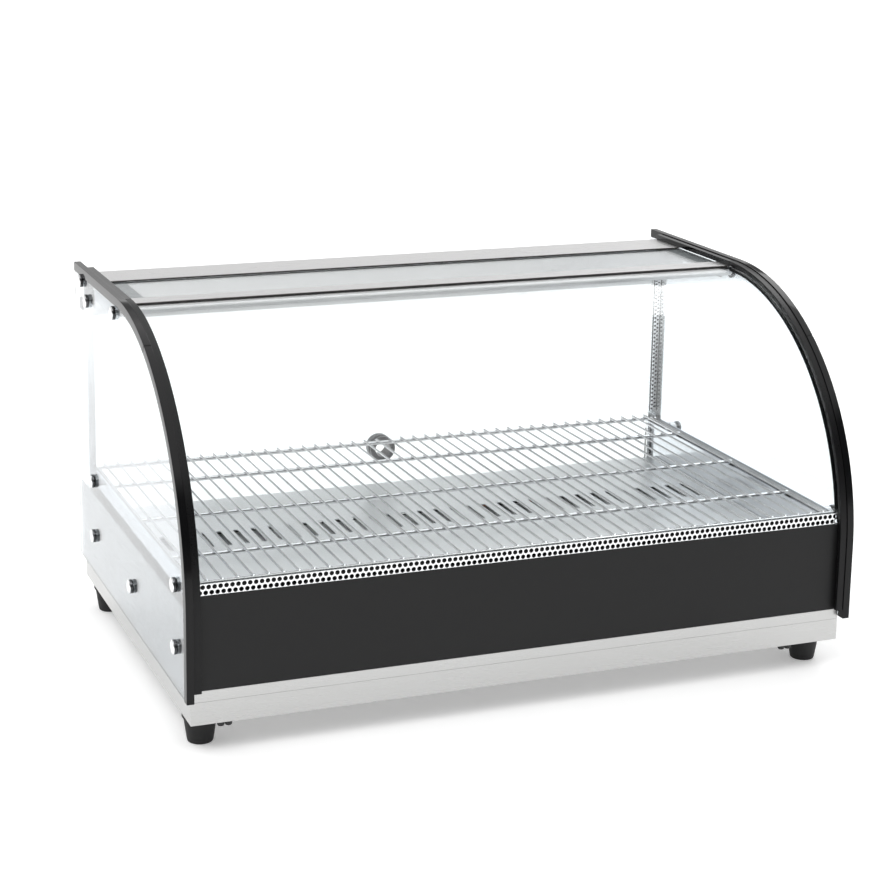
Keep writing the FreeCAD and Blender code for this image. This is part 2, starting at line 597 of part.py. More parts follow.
# ---------------------------------------------------------------- feet
feet, screws = [], []
for sx, fy in foot_places:
    x = S["foot_x"] * sx
    f0 = S["base_z"] - S["foot_h"]
    feet.append(cut(cone(S["foot_low_r"], S["foot_top_r"], S["foot_h"], x, fy, f0), cyl(2.6, 40, x, fy, f0 - 3), cyl(5.0, 10, x, fy, f0 - 1)))
    screws.append(fuse(cyl(2.4, 27, x, fy, f0 + 6.2), cyl(4.6, 2.7, x, fy, f0 + 6.2), cyl(4.4, 3, x, fy, S["base_z"] + T + 0.05)))
node(group(*feet), "feet")
node(group(*screws), "foot_screws")

# ---------------------------------------------------------------- heating element: one tube in three bends, with its brackets
hz = V["heater_z"]


def heater_path():
    xs, ys, r = 270.0, (-140.0, -50.0, 40.0, 130.0), 45.0
    e = []
    v = FreeCAD.Vector
    e.append(Part.LineSegment(v(-xs, ys[0], hz), v(xs - r, ys[0], hz)).toShape())
    e.append(Part.Arc(v(xs - r, ys[0], hz), v(xs, ys[0] + r, hz), v(xs - r, ys[1], hz)).toShape())
    e.append(Part.LineSegment(v(xs - r, ys[1], hz), v(-xs + r, ys[1], hz)).toShape())
    e.append(Part.Arc(v(-xs + r, ys[1], hz), v(-xs, ys[1] + r, hz), v(-xs + r, ys[2], hz)).toShape())
    e.append(Part.LineSegment(v(-xs + r, ys[2], hz), v(xs - r, ys[2], hz)).toShape())
    e.append(Part.Arc(v(xs - r, ys[2], hz), v(xs, ys[2] + r, hz), v(xs - r, ys[3], hz)).toShape())
    e.append(Part.LineSegment(v(xs - r, ys[3], hz), v(-xs, ys[3], hz)).toShape())
    return Part.Wire(e)


ring = Part.Wire([Part.Circle(FreeCAD.Vector(-270, -140, hz), FreeCAD.Vector(1, 0, 0), V["heater_r"]).toShape()])
heater = doc.addObject("Part::Feature", "heater_tube")
heater.Shape = heater_path().makePipeShell([ring], True, False)
heater.Placement = FreeCAD.Placement(FreeCAD.Vector(0, 0, V["datum_z"]), FreeCAD.Rotation())
node(heater, "heating_element")
stands = []
for x in (-180.0, 180.0):
    bar = box(x - 6, x + 6, -150, 140, hz - 6.3, hz - 4.05)
    legs = [box(x - 6, x + 6, y, y + 4, S["base_z"] + T, hz - 6.3) for y in (-150.0, 136.0)]
    stands.append(fuse(bar, *legs))
node(group(*stands), "heater_brackets")

# ---------------------------------------------------------------- thermostat, knob and sensing bulb
kx, cz = S["knob_x"], S["ctrl_z"]
bush = fuse(box(kx - 16, kx + 16, rf - 34, rf - 6, cz - 14, cz + 14), cyl(4.9, 6 + T + 0.6, kx, rf - 6, cz, "y"))
node(cut(bush, cyl(S["shaft_r"] - 0.44, 20, kx, rf - 12, cz, "y")), "thermostat_body")
node(cyl(S["shaft_r"] - 0.5, 21.4 + T, kx, rf - 11, cz, "y"), "thermostat_shaft")
knob = fuse(cyl(S["knob_r"], 3.5, kx, rf + T + 1.2, cz, "y"), cyl(S["knob_r"] - 5, S["knob_len"], kx, rf + T + 1.2, cz, "y"), box(kx - 1.2, kx + 1.2, rf + T + 2, rf + T + 1.2 + S["knob_len"] + 0.8, cz + 4, cz + S["knob_r"] - 1.5))
node(cut(knob, cyl(S["shaft_r"] - 0.45, 9.8, kx, rf + T + 0.9, cz, "y")), "thermostat_knob")
clips = [fuse(box(x, x + 6, 76, 84.6, 95.4, 96.6), box(x, x + 6, 83.4, 84.6, 88.8, 95.4), box(x, x + 6, 79, 81, 96.6, S["deck_z"] - T)) for x in (66.0, 118.0)]
node(group(fuse(cyl(3.2, 74, 60, 80, 92, "x"), cyl(1.0, 12, 134, 80, 92, "x")), *clips), "thermostat_bulb")

# ---------------------------------------------------------------- rocker switches: bezel body with a tilting rocker
for x, name in ((S["switch_x"], "power"), (S["light_x"], "light")):
    body_ = cut(
        fuse(
            box(x - 6.4, x + 6.4, rf - 22, rf + T, cz - 9.5, cz + 9.5),
            box(x - 7.5, x + 7.5, rf + T, rf + T + 1.8, cz - 10.5, cz + 10.5),
        ),
        box(x - 5.0, x + 5.0, rf - 5, rf + T + 3, cz - 8.3, cz + 8.3),
    )
    node(body_, name + "_switch_body")
    # rocker: a shallow wedge that turns about an axis along X, drawn in its off position, foot pressed in
    ca, sa = math.cos(math.radians(-7.0)), math.sin(math.radians(-7.0))
    wedge = [(-0.7, -7.6), (4.7, -7.6), (3.7, 0.0), (4.7, 7.6), (-0.7, 7.6)]
    rock = side_profile(None, x - 4.6, Q.of(9.2), [poly([(rf + T - 2.5 + (a * ca - b * sa), cz + (a * sa + b * ca)) for a, b in wedge])])
    node(rock, name + "_rocker")
node(fuse(cyl(4.9, 12, S["lamp_x"], rf - 10, cz, "y"), cyl(6.5, 2, S["lamp_x"], rf + T, cz, "y")), "pilot_lamp")

# ---------------------------------------------------------------- cable gland and terminal block
node(
    cut(
        fuse(cyl(7.9, 8, -250, rf - 4, cz, "y"), cyl(11.0, 5, -250, rf + T + 0.02, cz, "y"), cyl(8.5, 12, -250, rf + T + 0.02, cz, "y"), cyl(11, 3, -250, rf - 4, cz, "y")),
        cyl(3.9, 40, -250, rf - 12, cz, "y"),
    ),
    "cable_gland",
)
node(cut(box(-232, -186, 120, 140, S["base_z"] + T, 44), *[cyl(2.0, 20, -226 + 11.3 * k, 130, 36) for k in range(4)]), "terminal_block")

# ---------------------------------------------------------------- lamp in the header
hyc = (V["head_front"] + V["head_rear"]) / 2
node(cyl(S["tube_r"], 560, -280, hyc, 337, "x"), "lamp_tube")
node(group(*[fuse(box(x, x + 12, hyc - 8, hyc + 8, 327.2, 330.4), box(x, x + 12, hyc - 8, hyc + 8, 343.6, S["rail_top"] - S["head_wall"]), box(x + o, x + o + 4, hyc - 8, hyc + 8, 330.4, 343.6)) for x, o in ((-293.0, 0), (281.0, 8.0))]), "lamp_holders")
node(box(-S["rail_half_w"] + 6, S["rail_half_w"] - 6, hy0 + hw_ + 0.3, hy1 - hw_ - 0.3, hz0 + hw_ + 0.1, hz0 + hw_ + 1.1), "lamp_cover")

# ---------------------------------------------------------------- check, then write
doc.recompute()
bad = [o.Name for o in doc.Objects if any(w in o.State for w in ("Invalid", "Error"))]
if bad:
    raise SystemExit("failed objects: %s" % bad)
os.makedirs("parts", exist_ok=True)
names = set()
for o in SUBPARTS:
    if o.Label in names or len(o.Label) >= 60:
        raise SystemExit("bad label " + o.Label)
    names.add(o.Label)
    shape = o.Shape
    if shape.isNull() or not shape.isValid() or shape.Volume <= 0 or not shape.Solids:
        raise SystemExit("bad shape " + o.Label)
if len(names) > 60:
    raise SystemExit("too many nodes: %d" % len(names))
for o in SUBPARTS:
    o.Shape.exportStep("parts/%s.step" % o.Label)
    b = o.Shape.BoundBox
    print("%-24s solids %3d vol %10.1f  x %7.1f %7.1f  y %7.1f %7.1f  z %7.1f %7.1f" % (o.Label, len(o.Shape.Solids), o.Shape.Volume, b.XMin, b.XMax, b.YMin, b.YMax, b.ZMin, b.ZMax))
print(len(names), "nodes")
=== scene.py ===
import json
import math

import bmesh
import bpy
from mathutils import Matrix, Vector

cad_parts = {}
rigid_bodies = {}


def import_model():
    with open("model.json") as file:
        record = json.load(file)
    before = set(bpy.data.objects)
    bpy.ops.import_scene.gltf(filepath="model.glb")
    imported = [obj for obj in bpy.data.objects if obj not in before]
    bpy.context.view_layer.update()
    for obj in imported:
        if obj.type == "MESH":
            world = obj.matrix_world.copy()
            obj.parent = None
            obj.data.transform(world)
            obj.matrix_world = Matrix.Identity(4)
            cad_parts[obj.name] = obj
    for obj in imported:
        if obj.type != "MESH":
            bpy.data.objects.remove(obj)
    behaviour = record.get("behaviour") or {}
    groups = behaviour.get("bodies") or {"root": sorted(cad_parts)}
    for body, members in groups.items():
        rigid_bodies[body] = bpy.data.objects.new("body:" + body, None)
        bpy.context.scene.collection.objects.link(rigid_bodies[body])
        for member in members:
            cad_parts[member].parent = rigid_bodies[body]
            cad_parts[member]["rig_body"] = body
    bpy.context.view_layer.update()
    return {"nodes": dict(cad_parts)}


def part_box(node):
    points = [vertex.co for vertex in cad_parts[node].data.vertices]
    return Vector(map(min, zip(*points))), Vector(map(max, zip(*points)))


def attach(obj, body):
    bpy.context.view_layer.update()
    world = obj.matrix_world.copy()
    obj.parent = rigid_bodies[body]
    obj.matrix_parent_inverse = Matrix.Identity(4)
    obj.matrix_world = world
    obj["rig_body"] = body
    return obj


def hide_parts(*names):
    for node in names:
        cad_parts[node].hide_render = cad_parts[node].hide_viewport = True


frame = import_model()
nodes = frame["nodes"]
scene = bpy.context.scene
scene.view_settings.view_transform = "Standard"
scene.view_settings.look = "None"
scene.view_settings.exposure = 0.0

# ---------------------------------------------------------------- materials


class Shader:
    """A principled material with helpers for the node detail."""

    def __init__(self, name, color, rough, metal=0.0, **sockets):
        self.m = bpy.data.materials.new(name)
        self.m.use_nodes = True
        self.t = self.m.node_tree
        self.t.nodes.clear()
        self.out = self.t.nodes.new("ShaderNodeOutputMaterial")
        self.b = self.t.nodes.new("ShaderNodeBsdfPrincipled")
        self.t.links.new(self.b.outputs[0], self.out.inputs[0])
        self.color = tuple(color)
        self.b.inputs["Base Color"].default_value = (*color, 1)
        self.b.inputs["Roughness"].default_value = rough
        self.rough = rough
        self.b.inputs["Metallic"].default_value = metal
        for k, v in sockets.items():
            self.b.inputs[k].default_value = v
        self.co = self.t.nodes.new("ShaderNodeTexCoord")
        self.height = None

    def noise(self, scale, detail=3.0, stretch=(1, 1, 1), rough=0.55):
        mp = self.t.nodes.new("ShaderNodeMapping")
        mp.inputs["Scale"].default_value = stretch
        self.t.links.new(self.co.outputs["Object"], mp.inputs["Vector"])
        n = self.t.nodes.new("ShaderNodeTexNoise")
        n.inputs["Scale"].default_value = scale
        n.inputs["Detail"].default_value = detail
        n.inputs["Roughness"].default_value = rough
        self.t.links.new(mp.outputs[0], n.inputs["Vector"])
        return n.outputs[0]

    def span(self, src, lo, hi, a=0.3, b=0.7):
        r = self.t.nodes.new("ShaderNodeMapRange")
        r.inputs["From Min"].default_value = a
        r.inputs["From Max"].default_value = b
        r.inputs["To Min"].default_value = lo
        r.inputs["To Max"].default_value = hi
        self.t.links.new(src, r.inputs["Value"])
        return r.outputs[0]

    def math(self, op, x, y):
        n = self.t.nodes.new("ShaderNodeMath")
        n.operation = op
        for i, v in enumerate((x, y)):
            if isinstance(v, (int, float)):
                n.inputs[i].default_value = v
            else:
                self.t.links.new(v, n.inputs[i])
        return n.outputs[0]

    def tint(self, src, dark, light, a=0.3, b=0.7):
        """Base colour runs from dark to light times the colour."""
        r = self.t.nodes.new("ShaderNodeValToRGB")
        r.color_ramp.elements[0].position = a
        r.color_ramp.elements[1].position = b
        r.color_ramp.elements[0].color = (*[min(1, c * dark) for c in self.color], 1)
        r.color_ramp.elements[1].color = (*[min(1, c * light) for c in self.color], 1)
        self.t.links.new(src, r.inputs[0])
        self.t.links.new(r.outputs[0], self.b.inputs["Base Color"])
        return self

    def roughen(self, src, lo, hi, a=0.3, b=0.7):
        self.t.links.new(self.span(src, lo, hi, a, b), self.b.inputs["Roughness"])
        return self

    def bump(self, src, depth, strength=1.0):
        n = self.t.nodes.new("ShaderNodeBump")
        n.inputs["Distance"].default_value = depth
        n.inputs["Strength"].default_value = strength
        self.t.links.new(src, n.inputs["Height"])
        if self.height is not None:
            self.t.links.new(self.height, n.inputs["Normal"])
        self.height = n.outputs[0]
        self.t.links.new(self.height, self.b.inputs["Normal"])
        return self

    def see_through_shadow(self, tint):
        """Lamp rays pass the pane as they do thin glass, a little tinted."""
        lp = self.t.nodes.new("ShaderNodeLightPath")
        tr = self.t.nodes.new("ShaderNodeBsdfTransparent")
        tr.inputs[0].default_value = (*tint, 1)
        mix = self.t.nodes.new("ShaderNodeMixShader")
        self.t.links.new(lp.outputs["Is Shadow Ray"], mix.inputs[0])
        self.t.links.new(self.b.outputs[0], mix.inputs[1])
        self.t.links.new(tr.outputs[0], mix.inputs[2])
        self.t.links.new(mix.outputs[0], self.out.inputs[0])
        return self


def brushed(name, color, rough, along, spread=0.1, vary=0.07, depth=2e-5, metal=1.0):
    """Brushed metal, its grain running along one axis of the object."""
    stretch = {"x": (0.012, 1, 1), "y": (1, 0.012, 1), "z": (1, 1, 0.012)}[along]
    s = Shader(name, color, rough, metal)
    grain = s.noise(2600, 3, stretch, 0.7)
    cloud = s.noise(9, 3)
    both = s.math("ADD", s.math("MULTIPLY", grain, 0.75), s.math("MULTIPLY", cloud, 0.25))
    s.tint(both, 1 - vary, 1 + vary)
    s.roughen(both, rough - spread, rough + spread)
    s.bump(grain, depth, 0.35)
    return s.m


def polished(name, color, rough, vary=0.04):
    s = Shader(name, color, rough, 1.0)
    fine = s.noise(700, 3)
    cloud = s.noise(38, 3)
    s.tint(cloud, 1 - vary, 1 + vary)
    s.roughen(s.math("MULTIPLY", s.math("ADD", fine, cloud), 0.5), max(0.02, rough - 0.05), rough + 0.07)
    s.bump(fine, 1.2e-5, 0.25)
    return s.m


def painted(name, color, rough, level=0.5, grain=900, depth=3e-5, vary=0.12, coat=0.0):
    s = Shader(name, color, rough, 0.0)
    s.b.inputs["Specular IOR Level"].default_value = level
    if coat:
        s.b.inputs["Coat Weight"].default_value = coat
        s.b.inputs["Coat Roughness"].default_value = 0.12
    fine = s.noise(grain, 4)
    cloud = s.noise(14, 3)
    s.tint(s.math("MULTIPLY", s.math("ADD", fine, cloud), 0.5), 1 - vary, 1 + vary)
    s.roughen(s.math("MULTIPLY", s.math("ADD", fine, cloud), 0.5), max(0.03, rough - 0.06), min(1, rough + 0.08))
    s.bump(fine, depth, 0.4)
    return s.m


def pane(name, color, shade, rough=0.0, haze=0.012):
    s = Shader(name, color, rough, 0.0)
    s.b.inputs["Transmission Weight"].default_value = 1.0
    s.b.inputs["IOR"].default_value = 1.5
    s.b.inputs["Specular IOR Level"].default_value = 0.5
    smear = s.noise(11, 4, (1, 1, 0.5), 0.6)
    s.roughen(smear, 0.0, haze, 0.45, 0.75)
    s.bump(s.noise(5, 1), 4e-6, 0.15)
    s.see_through_shadow(shade)
    return s.m


M = {
    "stainless_x": brushed("stainless_x", (0.525, 0.525, 0.52), 0.3, "x", 0.07, 0.022, 6e-6),
    # the side skins' stainless is darkened to under half the brightness of the other stainless: painted shade on the
    # case's sides
    "side_stainless_painted_shade": brushed("side_stainless_painted_shade", (0.235, 0.234, 0.23), 0.26, "y", 0.06, 0.03, 3e-6),
    "deck_steel": brushed("deck_steel", (0.88, 0.88, 0.885), 0.3, "y", 0.03, 0.006, 2e-7, 0.7),
    "liner_steel": brushed("liner_steel", (0.76, 0.78, 0.81), 0.12, "y", 0.04, 0.02, 2e-6),
    "perforated_steel": polished("perforated_steel", (0.83, 0.84, 0.85), 0.17),
    "black_panel": painted("black_panel", (0.0085, 0.0086, 0.009), 0.42, 0.28, 1500, 2e-5, 0.2),
    "clear_glass": pane("clear_glass", (0.965, 0.988, 0.992), (0.94, 0.965, 0.97)),
    "side_clear_glass": pane("side_clear_glass", (0.925, 0.965, 0.995), (0.93, 0.955, 0.98)),
    "black_trim": painted("black_trim", (0.0045, 0.0045, 0.005), 0.08, 0.24, 600, 2e-6, 0.25),
    "black_gasket": painted("black_gasket", (0.006, 0.006, 0.0065), 0.3, 0.22, 900, 1.5e-5, 0.3),
    "satin_aluminium": brushed("satin_aluminium", (0.77, 0.765, 0.765), 0.3, "x", 0.06, 0.02, 2e-6),
    "post_aluminium": brushed("post_aluminium", (0.86, 0.865, 0.87), 0.26, "z", 0.07, 0.05),
    "chrome_wire": polished("chrome_wire", (0.71, 0.71, 0.72), 0.06),
    "chrome": polished("chrome", (0.84, 0.845, 0.85), 0.07),
    # a darkened copy of the chrome for the nut collars: painted shade on the nuts' sides
    "chrome_painted_shade": polished("chrome_painted_shade", (0.13, 0.13, 0.135), 0.2, 0.12),
    "zinc_screw": polished("zinc_screw", (0.60, 0.605, 0.61), 0.32, 0.12),
    "foot_rubber": painted("foot_rubber", (0.011, 0.011, 0.0115), 0.6, 0.35, 1300, 8e-5, 0.3),
    "heater_sheath": polished("heater_sheath", (0.17, 0.175, 0.185), 0.42, 0.25),
    "black_plastic": painted("black_plastic", (0.014, 0.014, 0.015), 0.45, 0.45, 1700, 6e-5, 0.2),
    "grey_plastic": painted("grey_plastic", (0.050, 0.052, 0.055), 0.3, 0.5, 1500, 3e-5, 0.14),
    "red_rocker": painted("red_rocker", (0.55, 0.02, 0.015), 0.28, 0.5, 1200, 1e-5, 0.1),
    "green_rocker": painted("green_rocker", (0.02, 0.32, 0.07), 0.28, 0.5, 1200, 1e-5, 0.1),
    "amber_lens": painted("amber_lens", (0.85, 0.28, 0.02), 0.2, 0.5, 500, 2e-5, 0.12),
    "white_ceramic": painted("white_ceramic", (0.82, 0.81, 0.78), 0.35, 0.5, 900, 2e-5, 0.05),
    "copper_bulb": polished("copper_bulb", (0.78, 0.42, 0.27), 0.28, 0.1),
    "diffuser": painted("diffuser", (0.88, 0.88, 0.87), 0.5, 0.4, 900, 2e-5, 0.03),
    "lamp_glass": painted("lamp_glass", (0.92, 0.92, 0.9), 0.22, 0.5, 500, 1e-5, 0.03),
    "seal_grey": painted("seal_grey", (0.055, 0.05, 0.048), 0.45, 0.3, 900, 1e-5, 0.25),
    "pane_angle_white": painted("pane_angle_white", (0.78, 0.785, 0.79), 0.4, 0.5, 800, 1e-5, 0.04),
    "mark_white": painted("mark_white", (0.80, 0.80, 0.79), 0.5, 0.4, 900, 1e-5, 0.05),
}

use = {
    "stainless_x": "base_pan front_sill front_inner_plate rear_sill rear_panel heater_brackets",
    "side_stainless_painted_shade": "side_skin_left side_skin_right",
    "liner_steel": "side_liner_left side_liner_right",
    "deck_steel": "deck_plate",
    "perforated_steel": "front_vent_strip",
    "black_panel": "front_panel",
    "clear_glass": "front_glass top_glass door_glass",
    "side_clear_glass": "side_glass_left side_glass_right",
    "black_trim": "edge_trim_upper_left edge_trim_upper_right edge_trim_lower_left edge_trim_lower_right cover_strips",
    "black_gasket": "glass_gasket_left glass_gasket_right nut_washers",
    "seal_grey": "rail_seals",
    "pane_angle_white": "pane_angles",
    "satin_aluminium": "front_rail rear_header door_top_rail",
    "post_aluminium": "rear_post_left rear_post_right",
    "chrome_wire": "rack_frame rack_wires",
    "chrome": "cap_nuts door_hinge_pins",
    "zinc_screw": "rear_panel_screws foot_screws side_studs stud_nuts thermostat_shaft",
    "foot_rubber": "feet",
    "grey_plastic": "door_pull",
    "black_plastic": "header_end_plugs door_hinge_blocks thermostat_body thermostat_knob power_switch_body light_switch_body cable_gland",
    "red_rocker": "power_rocker",
    "green_rocker": "light_rocker",
    "amber_lens": "pilot_lamp",
    "white_ceramic": "terminal_block",
    "copper_bulb": "thermostat_bulb",
    "diffuser": "lamp_holders lamp_cover",
    "lamp_glass": "lamp_tube",
    "heater_sheath": "heating_element",
}
finish_of = {n: m for m, names in use.items() for n in names.split()}
for name, obj in nodes.items():
    obj.data.materials.clear()
    obj.data.materials.append(M[finish_of[name]])

# ---------------------------------------------------------------- mesh helpers


def put(name, bm, material, body="case", replaces=(), smooth=35.0, flat=True):
    """Makes a piece of a bmesh, in the frame's own coordinates."""
    bmesh.ops.recalc_face_normals(bm, faces=bm.faces)
    limit = math.radians(smooth)
    for f in bm.faces:
        f.smooth = True
    for e in bm.edges:
        e.smooth = len(e.link_faces) == 2 and e.calc_face_angle(math.pi) <= limit
    me = bpy.data.meshes.new(name)
    bm.to_mesh(me)
    bm.free()
    me.materials.append(M[material])
    o = bpy.data.objects.new(name, me)
    scene.collection.objects.link(o)
    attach(o, body)
    if replaces:
        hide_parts(*replaces)
    if flat:
        w = o.modifiers.new("weighted", "WEIGHTED_NORMAL")
        w.keep_sharp = True
        w.weight = 100
        w.mode = "FACE_AREA_WITH_ANGLE"
    return o


def sweep(bm, path, radius, sides=10, closed=False, cap=0.5):
    """A round bar along a path of points, its ends a little rounded."""
    path = [Vector(p) for p in path]
    n = len(path)
    tang = []
    for i in range(n):
        a = path[i - 1] if (i > 0 or closed) else path[i]
        b = path[(i + 1) % n] if (i < n - 1 or closed) else path[i]
        tang.append((b - a).normalized())
    up = Vector((0, 0, 1)) if abs(tang[0].z) < 0.9 else Vector((0, 1, 0))
    side = tang[0].cross(up).normalized()
    rows = []

    def ring(p, t, s, r):
        u = s.cross(t).normalized()
        return [bm.verts.new(p + (s * math.cos(k) + u * math.sin(k)) * r) for k in (2 * math.pi * i / sides for i in range(sides))]

    for i in range(n):
        side = (side - tang[i] * side.dot(tang[i])).normalized()
        if i == 0 and not closed:
            rows.append(ring(path[0] - tang[0] * 0, tang[0], side, radius * (1 - cap * 0.45)))
            rows.append(ring(path[0] + tang[0] * radius * cap, tang[0], side, radius))
        elif i == n - 1 and not closed:
            rows.append(ring(path[i] - tang[i] * radius * cap, tang[i], side, radius))
            rows.append(ring(path[i], tang[i], side, radius * (1 - cap * 0.45)))
        else:
            rows.append(ring(path[i], tang[i], side, radius))
    m = len(rows)
    for i in range(m if closed else m - 1):
        a, b = rows[i], rows[(i + 1) % m]
        for k in range(sides):
            bm.faces.new((a[k], a[(k + 1) % sides], b[(k + 1) % sides], b[k]))
    if not closed:
        bm.faces.new(rows[0][::-1])
        bm.faces.new(rows[-1])


def lathe(bm, profile, centre, axis, steps=40, waves=0, depth=0.0):
    """Turns (radius, height) points round an axis through centre. Waves flute the outside."""
    c = Vector(centre)
    a = Vector(axis).normalized()
    u = a.orthogonal().normalized()
    v = a.cross(u)
    rings = []
    for r, h, *w in profile:
        if r < 1e-9:
            rings.append([bm.verts.new(c + a * h)])
            continue
        row = []
        for i in range(steps):
            t = 2 * math.pi * i / steps
            rr = r - (depth * (0.5 + 0.5 * math.cos(waves * t)) if w and waves else 0)
            row.append(bm.verts.new(c + a * h + (u * math.cos(t) + v * math.sin(t)) * rr))
        rings.append(row)
    for p, q in zip(rings, rings[1:]):
        for i in range(steps):
            j = (i + 1) % steps
            if len(p) == 1:
                bm.faces.new((p[0], q[i], q[j]))
            elif len(q) == 1:
                bm.faces.new((p[i], q[0], p[j]))
            else:
                bm.faces.new((p[i], q[i], q[j], p[j]))
    if len(rings[0]) > 1 and len(rings[-1]) > 1 and profile[0] == profile[-1]:
        bmesh.ops.remove_doubles(bm, verts=rings[0] + rings[-1], dist=1e-7)


def block(bm, lo, hi, bevel=0.0, segments=2):
    made = bmesh.ops.create_cube(bm, size=1.0)["verts"]
    for v in made:
        v.co = Vector([lo[i] + (v.co[i] + 0.5) * (hi[i] - lo[i]) for i in range(3)])
    if bevel:
        edges = list({e for v in made for e in v.link_edges})
        bmesh.ops.bevel(bm, geom=edges, offset=bevel, segments=segments, affect="EDGES", profile=0.6)


def arc(centre, r, a0, a1, n, plane="yz"):
    out = []
    for i in range(n + 1):
        t = math.radians(a0 + (a1 - a0) * i / n)
        c, s = math.cos(t) * r, math.sin(t) * r
        out.append({"yz": Vector((centre[0], centre[1] + c, centre[2] + s)), "xy": Vector((centre[0] + c, centre[1] + s, centre[2]))}[plane])
    return out


def eased(node, width, body=None, name=None, material=None, angle=30.0, segments=2, smooth=35.0):
    """The CAD node's own shape with its sharp edges rounded, as sheet and extrusions have them. It takes the node's place."""
    src = nodes[node]
    bm = bmesh.new()
    bm.from_mesh(src.data)
    bmesh.ops.remove_doubles(bm, verts=bm.verts, dist=2e-6)
    bmesh.ops.dissolve_limit(bm, angle_limit=math.radians(0.6), verts=bm.verts, edges=bm.edges)
    lo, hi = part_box(node)
    sharp = [e for e in bm.edges if len(e.link_faces) == 2 and e.calc_face_angle(0) > math.radians(angle)]
    bmesh.ops.bevel(bm, geom=sharp, offset=width, segments=segments, affect="EDGES", profile=0.6, clamp_overlap=True)
    bad = any(not (lo[i] - 2e-5 <= v.co[i] <= hi[i] + 2e-5) for v in bm.verts for i in range(3))
    loose = any(len(e.link_faces) != 2 for e in bm.edges)
    if bad or loose:
        print("EASED", node, "outside" if bad else "", "open" if loose else "")
        bm.free()
        return None
    bmesh.ops.triangulate(bm, faces=[f for f in bm.faces if len(f.verts) > 4])
    material = material or finish_of[node]
    owner = body or src["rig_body"]
    return put(name or node + "_finished", bm, material, owner, (node,), smooth)


mm = 0.001

# ---------------------------------------------------------------- folded sheets, extrusions and mouldings: rounded edges
for node, width in (
    ("base_pan", 0.45), ("front_sill", 0.4), ("front_panel", 0.5), ("front_inner_plate", 0.3),
    ("rear_header", 0.5), ("front_rail", 0.6), ("cover_strips", 0.4), ("pane_angles", 0.3), ("rail_seals", 0.2),
    ("edge_trim_upper_left", 0.7), ("edge_trim_upper_right", 0.7), ("edge_trim_lower_left", 0.7), ("edge_trim_lower_right", 0.7),
    ("glass_gasket_left", 0.8), ("glass_gasket_right", 0.8),
    ("side_skin_left", 0.3), ("side_skin_right", 0.3), ("side_liner_left", 0.3), ("side_liner_right", 0.3),
    ("deck_plate", 0.25), ("rear_sill", 0.3), ("rear_panel", 0.3), ("rear_post_left", 0.3), ("rear_post_right", 0.3),
    ("door_top_rail", 0.5), ("door_hinge_blocks", 0.6), ("power_switch_body", 0.5), ("light_switch_body", 0.5),
    ("power_rocker", 0.4), ("light_rocker", 0.4), ("thermostat_body", 0.6), ("terminal_block", 0.5),
    ("side_glass_left", 0.5), ("side_glass_right", 0.5), ("front_glass", 0.5), ("top_glass", 0.5), ("door_glass", 0.6),
):
    eased(node, width * mm)

# ---------------------------------------------------------------- rack
rods_y = (-116.0, -3.0, 112.0)
rod_r, wire_r, rod_z = 2.2, 1.2, 152.6
front_y, rear_y, side_x = -194.6, 180.6, 314.3
bm = bmesh.new()
loop = []
R = 7.0
for cx, cy, a0 in ((side_x - R, front_y + R, -90), (side_x - R, rear_y - R, 0), (-side_x + R, rear_y - R, 90), (-side_x + R, front_y + R, 180)):
    loop += arc((cx * mm, cy * mm, rod_z * mm), R * mm, a0, a0 + 90, 7, "xy")
sweep(bm, loop, rod_r * mm, 14, closed=True)
for y in rods_y:
    sweep(bm, [(-side_x * mm, y * mm, rod_z * mm), (0, y * mm, rod_z * mm), (side_x * mm, y * mm, rod_z * mm)], rod_r * mm, 14)
put("rack_frame_rods", bm, "chrome_wire", "rack", ("rack_frame",), 60)

wire_x = [13.9 * k for k in range(-22, 23)]
wz = 156.0
bend = 2.8
wy = -194.6 - rod_r - wire_r + 0.9
bm = bmesh.new()
for x in wire_x:
    path = [Vector((x, 183.4, wz)), Vector((x, 60.0, wz)), Vector((x, -70.0, wz))]
    path += arc((x, wy + bend, wz - bend), bend, 90, 180, 5)
    path += [Vector((x, wy, 150.2))]
    sweep(bm, [p * mm for p in path], wire_r * mm, 10, cap=0.6)
put("rack_cross_wires", bm, "chrome_wire", "rack", ("rack_wires",), 60)

bm = bmesh.new()
for x in wire_x:
    for y in (front_y + 0.2, *rods_y, rear_y):
        made = bmesh.ops.create_icosphere(bm, subdivisions=1, radius=1.0)["verts"]
        for v in made:
            v.co = Vector((x * mm + v.co.x * 1.75 * mm, y * mm + v.co.y * 1.9 * mm, 154.6 * mm + v.co.z * 0.95 * mm))
for x in wire_x:
    made = bmesh.ops.create_icosphere(bm, subdivisions=2, radius=1.0)["verts"]
    for v in made:
        v.co = Vector((x * mm + v.co.x * 1.9 * mm, -194.3 * mm + v.co.y * 2.0 * mm, 156.7 * mm + v.co.z * 1.9 * mm))
put("rack_welds", bm, "chrome_wire", "rack", (), 60)

